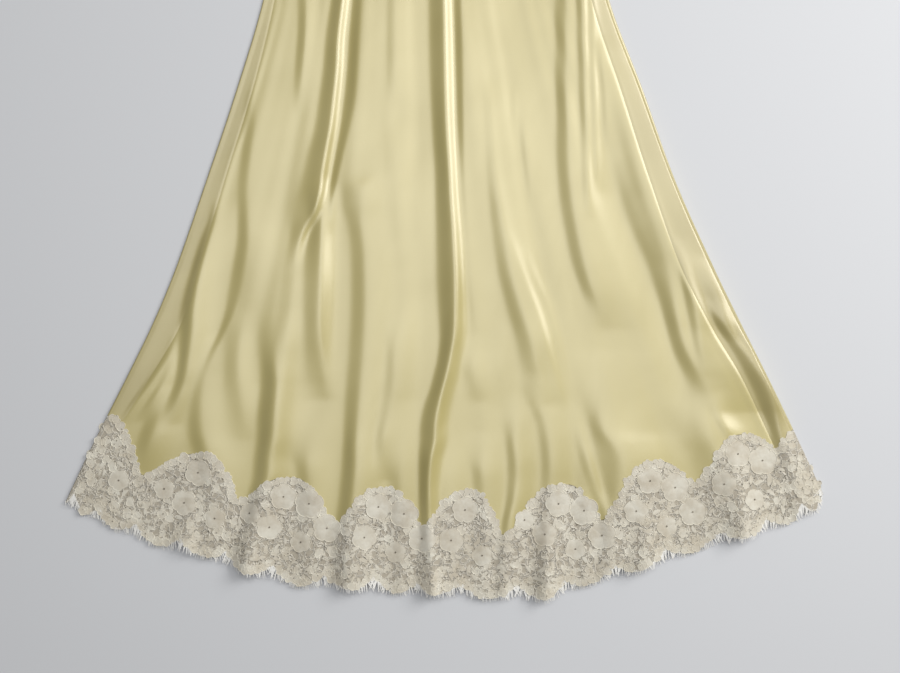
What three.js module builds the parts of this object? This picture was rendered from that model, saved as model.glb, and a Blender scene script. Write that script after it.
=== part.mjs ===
// A slip maxi dress of satin with a deep scalloped lace hem, laid flat on its back.
// Millimetres. X runs across the dress, Y from the hem to the straps, Z up from the surface it rests on.
// Heights in the tables are measured along Y from the lowest scallop of the hem.
// The back is wider than the front: it wraps round both side folds and meets the front on the upper side.

import * as THREE from 'three';

// ---- Driving dimensions ----

const LENGTH = 1400; // lowest scallop to the top of the straps
const WALL = 1.2; // thickness of every cloth wall
const SEAM_GAP = 0.3; // clearance between pieces that are sewn together
const LACE_DROP = 0.45; // the same clearance measured along Y, where the lace line runs at a slant
const CENTRE_X = -12; // middle of the bodice, a little left of the middle of the hem
const STRAP_WIDTH = 8;
const SCALLOP_NOTCH = 9; // how far the hem rises between two scallops
const PEAK_BREADTH = 1.5; // how broad the peaks of the lace are against its dips; 1 is even
const FOLD_FADE = 0.22; // share of a fold's length over which it grows out of the flat cloth
const TOP_RISE = 0.6; // rise of a fold near its top as a share of its rise at the foot
const EDGE_FADE = 26; // width beside each side fold where the other folds die out

// ---- Resolution ----

const FRONT_COLUMNS = 64;
const STRIP_COLUMNS = 3; // each wrapped strip of the back
const TURN_COLUMNS = 4; // each side fold
const UNDER_COLUMNS = 12; // the flat underside
const PANEL_ROWS = 16;
const LACE_ROWS = 3;
const STRAP_RUN_STEPS = 5;
const STRAP_TURN_STEPS = 5;
const MEETING_STEPS = 30; // steps taken to find where a column meets an edge line
const MEETING_SHARE = 0.6; // share of the remaining way covered by each of them

// ---- Tables ----

// Cross sections: both side folds, both side seams and how far apart the two layers lie.
const SECTIONS = [
  { height: -80, leftEdge: -588, rightEdge: 593, leftSeam: -570, rightSeam: 548, loft: 3.6 },
  { height: 125, leftEdge: -493, rightEdge: 498, leftSeam: -475, rightSeam: 459, loft: 3.6 },
  { height: 205, leftEdge: -455, rightEdge: 461, leftSeam: -433, rightSeam: 425, loft: 3.4 },
  { height: 290, leftEdge: -412, rightEdge: 420, leftSeam: -381, rightSeam: 384, loft: 3.0 },
  { height: 360, leftEdge: -378, rightEdge: 385, leftSeam: -341, rightSeam: 342, loft: 2.6 },
  { height: 430, leftEdge: -349, rightEdge: 351, leftSeam: -319, rightSeam: 306, loft: 2.4 },
  { height: 545, leftEdge: -309, rightEdge: 300, leftSeam: -285, rightSeam: 265, loft: 2.1 },
  { height: 665, leftEdge: -269, rightEdge: 257, leftSeam: -248, rightSeam: 227, loft: 1.9 },
  { height: 780, leftEdge: -235, rightEdge: 214, leftSeam: -220, rightSeam: 190, loft: 1.8 },
  { height: 900, leftEdge: -213, rightEdge: 189, leftSeam: -200, rightSeam: 171, loft: 1.6 },
  { height: 1000, leftEdge: -199, rightEdge: 175, leftSeam: -188, rightSeam: 162, loft: 1.5 },
  { height: 1100, leftEdge: -214, rightEdge: 190, leftSeam: -204, rightSeam: 179, loft: 1.5 },
  { height: 1185, leftEdge: -226, rightEdge: 202, leftSeam: -217, rightSeam: 193, loft: 1.5 },
  { height: 1300, leftEdge: -231, rightEdge: 207, leftSeam: -222, rightSeam: 198, loft: 1.5 },
];

// Top edges of front and back by distance from the middle of the bodice.
const NECKLINES = [
  { out: 0, front: 1196, back: 1150 },
  { out: 40, front: 1208, back: 1152 },
  { out: 84, front: 1250, back: 1157 },
  { out: 98, front: 1250, back: 1159 },
  { out: 130, front: 1222, back: 1165 },
  { out: 170, front: 1200, back: 1174 },
  { out: 204, front: 1185, back: 1185 },
  { out: 230, front: 1185, back: 1185 },
];

// Where satin ends and lace begins: one row for each peak and each dip of the lace.
const LACE_LINE = [
  { x: -436, height: 240 },
  { x: -391, height: 163 },
  { x: -311, height: 191 },
  { x: -265, height: 130 },
  { x: -200, height: 160 },
  { x: -142, height: 100 },
  { x: -77, height: 147 },
  { x: -29, height: 98 },
  { x: 35, height: 143 },
  { x: 76, height: 86 },
  { x: 156, height: 151 },
  { x: 203, height: 105 },
  { x: 274, height: 181 },
  { x: 326, height: 153 },
  { x: 387, height: 216 },
  { x: 432, height: 197 },
  { x: 457, height: 222 },
];

// Lowest point of each hem scallop, the two corners first and last.
const SCALLOPS = [
  { x: -493, height: 125 },
  { x: -467, height: 110 },
  { x: -428, height: 91 },
  { x: -373, height: 69 },
  { x: -311, height: 55 },
  { x: -256, height: 35 },
  { x: -188, height: 16 },
  { x: -123, height: 14 },
  { x: -60, height: 7 },
  { x: -15, height: 7 },
  { x: 57, height: 0 },
  { x: 131, height: 0 },
  { x: 183, height: 17 },
  { x: 254, height: 38 },
  { x: 320, height: 60 },
  { x: 391, height: 81 },
  { x: 443, height: 97 },
  { x: 482, height: 114 },
  { x: 493, height: 136 },
];

// Largest folds of the upper layer, left to right. A fold starts at its top, grows towards its foot
// and keeps its rise there; left and right are the widths of its two flanks, bow its sideways bend.
const FOLDS = [
  { topX: -238, topHeight: 600, footX: -445, footHeight: 190, rise: 6, left: 16, right: 22, bow: 24 },
  { topX: -332, topHeight: 310, footX: -345, footHeight: -60, rise: 10, left: 22, right: 26, bow: 0 },
  { topX: -205, topHeight: 420, footX: -275, footHeight: -60, rise: 14, left: 24, right: 26, bow: 10 },
  { topX: -118, topHeight: 1010, footX: -162, footHeight: 280, rise: 10, left: 18, right: 15, bow: -6 },
  { topX: -110, topHeight: 760, footX: -100, footHeight: 330, rise: 7, left: 14, right: 24, bow: 0 },
  { topX: -104, topHeight: 380, footX: -124, footHeight: -60, rise: 13, left: 20, right: 28, bow: 0 },
  { topX: -54, topHeight: 260, footX: -56, footHeight: -60, rise: 4, left: 20, right: 20, bow: 0 },
  { topX: 0, topHeight: 1000, footX: 14, footHeight: 300, rise: 10, left: 18, right: 18, bow: 2 },
  { topX: 14, topHeight: 400, footX: -22, footHeight: -60, rise: 13, left: 16, right: 22, bow: -10 },
  { topX: 52, topHeight: 640, footX: 138, footHeight: 170, rise: 8, left: 18, right: 30, bow: 0 },
  { topX: 94, topHeight: 270, footX: 72, footHeight: -60, rise: 6, left: 16, right: 20, bow: 4 },
  { topX: 138, topHeight: 190, footX: 134, footHeight: -60, rise: 12, left: 16, right: 24, bow: 0 },
  { topX: 158, topHeight: 990, footX: 198, footHeight: 350, rise: 9, left: 14, right: 18, bow: -2 },
  { topX: 198, topHeight: 300, footX: 285, footHeight: -60, rise: 13, left: 22, right: 28, bow: 0 },
  { topX: 206, topHeight: 740, footX: 345, footHeight: 240, rise: 9, left: 18, right: 22, bow: -8 },
  { topX: 362, topHeight: 260, footX: 402, footHeight: -60, rise: 17, left: 24, right: 22, bow: 4 },
  { topX: 300, topHeight: 480, footX: 478, footHeight: 100, rise: 8, left: 14, right: 16, bow: 14 },
];

// Straps: distance from the middle of the bodice at the front edge, at the top and at the back edge.
const STRAP_ROUTE = { frontOut: 90, topOut: 76, backOut: 62 };

// Finishes: the satin shines softly, the lace is matt.
const SATIN = { color: 0xd7cea0, roughness: 0.35, metalness: 0 };
const LACE = { color: 0xc9c3b2, roughness: 0.9, metalness: 0 };

// ---- Curves through the tables ----

const { lerp, smoothstep, clamp } = THREE.MathUtils;

// Index of the table interval that holds a value, and how far through it the value lies.
function interval(rows, along, at) {
  let low = 0;
  while (low < rows.length - 2 && at > rows[low + 1][along]) {
    low += 1;
  }
  const start = rows[low][along];
  const end = rows[low + 1][along];
  return { low, share: clamp((at - start) / (end - start), 0, 1) };
}

// Smooth column of a table: cubic pieces whose end slopes come from the rows on either side.
function smoothColumn(rows, along, column) {
  const slopeAt = (index) => {
    const before = rows[Math.max(index - 1, 0)];
    const after = rows[Math.min(index + 1, rows.length - 1)];
    return (after[column] - before[column]) / (after[along] - before[along]);
  };
  return (at) => {
    const { low, share } = interval(rows, along, at);
    const span = rows[low + 1][along] - rows[low][along];
    const a = rows[low][column];
    const b = rows[low + 1][column];
    const leave = slopeAt(low) * span;
    const arrive = slopeAt(low + 1) * span;
    const bend = (2 * a - 2 * b + leave + arrive) * share ** 3;
    return bend + (3 * b - 3 * a - 2 * leave - arrive) * share ** 2 + leave * share + a;
  };
}

// Straight-sided column of a table.
function straightColumn(rows, along, column) {
  return (at) => {
    const { low, share } = interval(rows, along, at);
    return lerp(rows[low][column], rows[low + 1][column], share);
  };
}

const leftEdge = smoothColumn(SECTIONS, 'height', 'leftEdge');
const rightEdge = smoothColumn(SECTIONS, 'height', 'rightEdge');
const leftSeam = smoothColumn(SECTIONS, 'height', 'leftSeam');
const rightSeam = smoothColumn(SECTIONS, 'height', 'rightSeam');
const loft = smoothColumn(SECTIONS, 'height', 'loft');
const frontNeck = straightColumn(NECKLINES, 'out', 'front');
const backNeck = straightColumn(NECKLINES, 'out', 'back');

const frontTop = (x) => frontNeck(Math.abs(x - CENTRE_X));
const backTop = (x) => backNeck(Math.abs(x - CENTRE_X));

// Lace line: half a cosine wave from each peak to the next dip, with the share along it bent so that
// the peaks are broad and the dips narrow. Even rows of the table are peaks.
function laceLine(x) {
  const { low, share } = interval(LACE_LINE, 'x', x);
  const bent = low % 2 === 0 ? share ** PEAK_BREADTH : 1 - (1 - share) ** PEAK_BREADTH;
  return lerp(LACE_LINE[low].height, LACE_LINE[low + 1].height, (1 - Math.cos(Math.PI * bent)) / 2);
}

const laceTop = (x) => laceLine(x) - LACE_DROP;

// Hem: round scallops that meet in a sharp notch half way between their lowest points.
function hemLine(x) {
  const { low, share } = interval(SCALLOPS, 'x', x);
  const pitch = SCALLOPS[low + 1].x - SCALLOPS[low].x;
  const notch = Math.min(SCALLOP_NOTCH, pitch / 4);
  const foot = lerp(SCALLOPS[low].height, SCALLOPS[low + 1].height, share);
  return foot + notch * (1 - Math.abs(Math.cos(Math.PI * share)));
}

// ---- The upper layer ----

// Rise of one fold: a bell across its crest line with its own width on each flank.
function foldRise(fold, x, height) {
  const down = (fold.topHeight - height) / (fold.topHeight - fold.footHeight);
  if (down <= 0 || down >= 1) {
    return 0;
  }
  const crest = lerp(fold.topX, fold.footX, down) + fold.bow * 4 * down * (1 - down);
  const off = (x - crest) / (x < crest ? fold.left : fold.right);
  const growth = smoothstep(down, 0, FOLD_FADE) * (1 - smoothstep(down, 1 - FOLD_FADE / 2, 1));
  return fold.rise * growth * lerp(TOP_RISE, 1, down) * Math.exp(-off * off);
}

// Middle plane of the upper layer: the loft plus all folds, which die out beside the side folds.
function upperMiddle(x, height) {
  const fromEdge = Math.min(x - leftEdge(height), rightEdge(height) - x);
  const rise = FOLDS.reduce((sum, fold) => sum + foldRise(fold, x, height), 0);
  return WALL / 2 + loft(height) + rise * smoothstep(fromEdge, 0, EDGE_FADE);
}

const toY = (height) => height - LENGTH / 2;

// A place on the upper layer and the way that its outer face looks there.
function upperPlace(x, height) {
  const slopeX = (upperMiddle(x + 1, height) - upperMiddle(x - 1, height)) / 2;
  const slopeY = (upperMiddle(x, height + 1) - upperMiddle(x, height - 1)) / 2;
  return {
    point: new THREE.Vector3(x, toY(height), upperMiddle(x, height)),
    outward: new THREE.Vector3(-slopeX, -slopeY, 1).normalize(),
  };
}

// ---- Columns: each gives a place for a height ----

function frontColumns() {
  return Array.from({ length: FRONT_COLUMNS + 1 }, (_, column) => (height) => {
    const start = leftSeam(height) + SEAM_GAP / 2;
    const end = rightSeam(height) - SEAM_GAP / 2;
    return upperPlace(lerp(start, end, column / FRONT_COLUMNS), height);
  });
}

// Centre of the half round of a side fold; side is -1 at the left and 1 at the right.
function turnCentre(side, height) {
  const edge = side < 0 ? leftEdge(height) : rightEdge(height);
  return edge - side * (WALL / 2 + loft(height) / 2);
}

function stripColumn(side, share) {
  return (height) => {
    const seam = side < 0 ? leftSeam(height) : rightSeam(height);
    return upperPlace(lerp(seam + (side * SEAM_GAP) / 2, turnCentre(side, height), share), height);
  };
}

// A place on the half round of a side fold; share runs from the upper layer down to the underside.
function turnColumn(side, share) {
  return (height) => {
    const radius = loft(height) / 2;
    const angle = Math.PI * (0.5 - share);
    const outward = new THREE.Vector3(side * Math.cos(angle), 0, Math.sin(angle));
    const centre = new THREE.Vector3(turnCentre(side, height), toY(height), WALL / 2 + radius);
    return { point: centre.addScaledVector(outward, radius), outward };
  };
}

function underColumn(share) {
  return (height) => {
    const x = lerp(turnCentre(1, height), turnCentre(-1, height), share);
    return {
      point: new THREE.Vector3(x, toY(height), WALL / 2),
      outward: new THREE.Vector3(0, 0, -1),
    };
  };
}

// From the right seam over the right fold, across the underside, and over the left fold to its seam.
function backColumns() {
  const columns = [];
  for (let step = 0; step < STRIP_COLUMNS; step += 1) {
    columns.push(stripColumn(1, step / STRIP_COLUMNS));
  }
  for (let step = 0; step < TURN_COLUMNS; step += 1) {
    columns.push(turnColumn(1, step / TURN_COLUMNS));
  }
  for (let step = 0; step < UNDER_COLUMNS; step += 1) {
    columns.push(underColumn(step / UNDER_COLUMNS));
  }
  for (let step = TURN_COLUMNS; step > 0; step -= 1) {
    columns.push(turnColumn(-1, step / TURN_COLUMNS));
  }
  for (let step = STRIP_COLUMNS; step >= 0; step -= 1) {
    columns.push(stripColumn(-1, step / STRIP_COLUMNS));
  }
  return columns;
}

// ---- Walls ----

// Closed wall through a grid of places, half its thickness to each side of them.
function wallGeometry(places) {
  const rows = places.length;
  const columns = places[0].length;
  const positions = [];
  for (const side of [1, -1]) {
    for (const row of places) {
      for (const { point, outward } of row) {
        positions.push(...point.clone().addScaledVector(outward, (side * WALL) / 2).toArray());
      }
    }
  }
  const outer = (row, column) => row * columns + column;
  const inner = (row, column) => rows * columns + outer(row, column);
  const triangles = [];
  const quad = (a, b, c, d) => triangles.push(a, b, c, a, c, d);
  for (let row = 0; row < rows - 1; row += 1) {
    for (let column = 0; column < columns - 1; column += 1) {
      const corners = [[row, column], [row, column + 1], [row + 1, column + 1], [row + 1, column]];
      quad(...corners.map((corner) => outer(...corner)));
      const [a, b, c, d] = corners.map((corner) => inner(...corner));
      triangles.push(a, c, b, a, d, c);
    }
  }
  const rim = (from, to) => quad(outer(...to), outer(...from), inner(...from), inner(...to));
  for (let column = 0; column < columns - 1; column += 1) {
    rim([0, column], [0, column + 1]);
    rim([rows - 1, column + 1], [rows - 1, column]);
  }
  for (let row = 0; row < rows - 1; row += 1) {
    rim([row, columns - 1], [row + 1, columns - 1]);
    rim([row + 1, 0], [row, 0]);
  }
  const geometry = new THREE.BufferGeometry();
  geometry.setAttribute('position', new THREE.Float32BufferAttribute(positions, 3));
  geometry.setIndex(triangles);
  geometry.computeVertexNormals();
  return geometry;
}

// Height at which a column meets a line across the dress, found by stepping towards it.
function meetingHeight(column, line) {
  let height = LENGTH / 4;
  for (let step = 0; step < MEETING_STEPS; step += 1) {
    height = lerp(height, line(column(height).point.x), MEETING_SHARE);
  }
  return height;
}

// Panel between two lines across the dress, with its rows shared out evenly along each column.
function panel(name, columns, lowerLine, upperLine, rowCount, finish) {
  const ends = columns.map((column) => [
    meetingHeight(column, lowerLine),
    meetingHeight(column, upperLine),
  ]);
  const places = [];
  for (let row = 0; row <= rowCount; row += 1) {
    places.push(columns.map((column, index) => column(lerp(...ends[index], row / rowCount))));
  }
  return namedMesh(name, wallGeometry(places), finish);
}

function namedMesh(name, geometry, finish) {
  const mesh = new THREE.Mesh(geometry, new THREE.MeshStandardMaterial(finish));
  mesh.name = name;
  return mesh;
}

// Stations of a strap from its front end, up to the shoulder fold, and down to its back end.
// The angle is how far the band has turned over: none in front, half a turn behind.
function strapStations(turnHeight) {
  const { frontOut, topOut, backOut } = STRAP_ROUTE;
  const frontFoot = frontNeck(frontOut) + SEAM_GAP;
  const backFoot = backNeck(backOut + STRAP_WIDTH / 2) + SEAM_GAP;
  const stations = [];
  const addRun = (outs, heights, angle) => {
    for (let step = 0; step <= STRAP_RUN_STEPS; step += 1) {
      const share = step / STRAP_RUN_STEPS;
      stations.push({ out: lerp(...outs, share), height: lerp(...heights, share), angle });
    }
  };
  addRun([frontOut, topOut], [frontFoot, turnHeight], 0);
  for (let step = 1; step < STRAP_TURN_STEPS; step += 1) {
    stations.push({ out: topOut, height: turnHeight, angle: (Math.PI * step) / STRAP_TURN_STEPS });
  }
  addRun([topOut, backOut], [turnHeight, backFoot], Math.PI);
  return stations;
}

// Strap: a flat band whose two runs lie on each other; side is -1 at the left and 1 at the right.
function strap(name, side) {
  const radius = loft(LENGTH) / 2;
  const places = strapStations(LENGTH - WALL / 2 - radius).map(({ out, height, angle }) => {
    const outward = new THREE.Vector3(0, Math.sin(angle), Math.cos(angle));
    return [-STRAP_WIDTH / 2, STRAP_WIDTH / 2].map((offset) => {
      const centre = new THREE.Vector3(CENTRE_X + side * out + offset, toY(height), WALL / 2 + radius);
      return { point: centre.addScaledVector(outward, radius), outward };
    });
  });
  return namedMesh(name, wallGeometry(places), SATIN);
}

// ---- The dress ----

const dress = new THREE.Group();
dress.add(panel('front_panel', frontColumns(), laceLine, frontTop, PANEL_ROWS, SATIN));
dress.add(panel('back_panel', backColumns(), laceLine, backTop, PANEL_ROWS, SATIN));
dress.add(panel('lace_front', frontColumns(), hemLine, laceTop, LACE_ROWS, LACE));
dress.add(panel('lace_back', backColumns(), hemLine, laceTop, LACE_ROWS, LACE));
dress.add(strap('strap_left', -1));
dress.add(strap('strap_right', 1));

export default dress;
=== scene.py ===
from collections import namedtuple
from functools import partial

import bpy
import numpy as np
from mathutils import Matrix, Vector


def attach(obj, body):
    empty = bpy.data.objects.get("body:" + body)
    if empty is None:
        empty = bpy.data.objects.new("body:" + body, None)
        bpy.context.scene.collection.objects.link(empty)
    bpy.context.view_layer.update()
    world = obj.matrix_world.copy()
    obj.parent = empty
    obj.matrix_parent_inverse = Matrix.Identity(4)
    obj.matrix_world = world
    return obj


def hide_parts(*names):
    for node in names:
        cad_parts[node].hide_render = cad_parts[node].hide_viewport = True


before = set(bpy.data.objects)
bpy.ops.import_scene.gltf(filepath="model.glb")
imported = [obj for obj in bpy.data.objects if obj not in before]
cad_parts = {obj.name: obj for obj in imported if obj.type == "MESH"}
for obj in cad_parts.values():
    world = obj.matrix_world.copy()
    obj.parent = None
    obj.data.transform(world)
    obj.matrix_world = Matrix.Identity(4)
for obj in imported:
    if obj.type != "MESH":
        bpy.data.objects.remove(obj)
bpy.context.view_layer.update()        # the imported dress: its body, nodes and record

# A slip maxi dress of satin with a scalloped lace hem, laid flat and face up.
# Tables and shapes are worked out in millimetres: x across the dress, height from the lowest
# scallop towards the straps, lift up from the floor. cloth_mesh turns them into metres.

MM = 0.001

# ---------------------------------------------------------------- sizes

LENGTH = 1400.0          # lowest scallop to the top of the straps
CENTRE_X = -12.0         # middle of the bodice
SOLID_WALL = 1.2         # wall of the frame's solids, whose middle the cloth follows
SATIN_THICK = 0.45
NET_THICK = 0.30
LACE_GAP = 0.45          # between the foot of the satin and the top of the lace
FRINGE = 3.0             # height of the woven edge of the lace above the hem line
NOTCH_FRINGE = 7.0       # more of it in the notches between the scallops
SCALLOP_NOTCH = 9.0      # rise of the hem in a notch
PEAK_BREADTH = 1.5       # how broad the peaks of the lace are against its dips
CORNER = 7.0             # sharpness of the corners of a fold's steep flank
LEAST_FLANK = 2.0        # least width of that flank
LEFT_SEAM_DIP = 0.3      # depth of the groove at each side seam
RIGHT_SEAM_DIP = 0.5
SEAM_REACH = 1.6         # half width of that groove
EDGE_TURN = 2.0          # width of each side fold itself, where the upper layer turns under
LEFT_FADE = 6.0          # width beside each side fold where the other folds die out
RIGHT_FADE = 4.0
UNDER_MIDDLE = SATIN_THICK / 2        # lift of the back's middle where it lies on the floor

# Outline of the dress at each height: its side folds, the side seams on its upper side, and its loft.
Section = namedtuple("Section", "height left_edge right_edge left_seam right_seam loft")
SECTIONS = [
    Section(-80, -588, 593, -570, 548, 3.6),
    Section(125, -493, 498, -475, 459, 3.6),
    Section(205, -455, 461, -433, 425, 3.4),
    Section(290, -412, 420, -381, 384, 3.0),
    Section(360, -378, 385, -341, 342, 2.6),
    Section(430, -349, 351, -319, 306, 2.4),
    Section(545, -309, 300, -285, 265, 2.1),
    Section(665, -269, 257, -248, 227, 1.9),
    Section(780, -235, 214, -220, 190, 1.8),
    Section(900, -213, 189, -200, 171, 1.6),
    Section(1000, -199, 175, -188, 162, 1.5),
    Section(1100, -214, 190, -204, 179, 1.5),
    Section(1185, -226, 202, -217, 193, 1.5),
    Section(1300, -231, 207, -222, 198, 1.5),
]

# Top edges of the front and back, at each distance out from the middle of the bodice.
Neck = namedtuple("Neck", "out front back")
NECKLINES = [
    Neck(0, 1196, 1150), Neck(40, 1208, 1152), Neck(84, 1250, 1157), Neck(98, 1250, 1159),
    Neck(130, 1222, 1165), Neck(170, 1200, 1174), Neck(204, 1185, 1185), Neck(230, 1185, 1185),
]

# Peaks and dips of the lace line, turn by turn, and the lowest point of each scallop.
Place = namedtuple("Place", "x height")
LACE_LINE = [
    Place(-436, 240), Place(-391, 163), Place(-311, 191), Place(-265, 130), Place(-200, 160),
    Place(-142, 100), Place(-77, 147), Place(-29, 98), Place(35, 143), Place(76, 86),
    Place(156, 151), Place(203, 105), Place(274, 181), Place(326, 153), Place(387, 216),
    Place(432, 197), Place(457, 222),
]
SCALLOPS = [
    Place(-493, 125), Place(-467, 110), Place(-428, 91), Place(-373, 69), Place(-311, 55),
    Place(-256, 35), Place(-188, 16), Place(-123, 14), Place(-60, 7), Place(-15, 7),
    Place(57, 0), Place(131, 0), Place(183, 17), Place(254, 38), Place(320, 60),
    Place(391, 81), Place(443, 97), Place(482, 114), Place(493, 136),
]

# The main view looks straight down on the skirt, and places of its folds are told in its pixels.
PIXEL = 1.3              # mm of the dress that one pixel takes in
MIDDLE_PIXEL = 444.25    # pixel across on which x is nought
FOOT_PIXEL = 600.0       # pixel down on which the height is nought

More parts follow.
